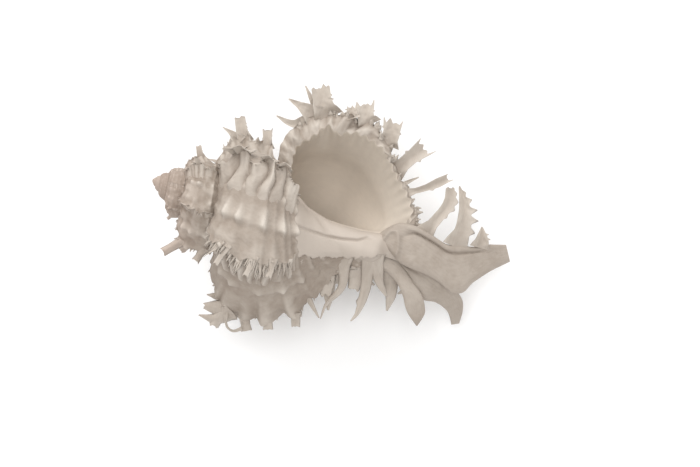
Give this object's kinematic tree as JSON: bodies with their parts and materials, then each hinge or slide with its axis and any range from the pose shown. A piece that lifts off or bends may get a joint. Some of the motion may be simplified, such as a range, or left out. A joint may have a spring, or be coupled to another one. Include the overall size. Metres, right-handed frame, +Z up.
{
  "type": "murex shell",
  "caption": "Spiny coiled seashell with frilled fronds along its growth ridges, a wide oval aperture and a bent siphonal canal, lying aperture up.",
  "frame": {"origin": "middle of the bounding box's underside, where the shell stands on the fronds of its back", "axes": "+X from the spire towards the siphonal canal, +Y towards the outer lip, +Z up, out of the aperture"},
  "size_m": [0.1056, 0.0746, 0.0614],
  "materials": {
    "shell_white": "chalky matte outside, smooth and slightly glossy in the aperture"
  },
  "bodies": {
    "root": {"murex_shell": "shell_white"}
  },
  "joints": []
}
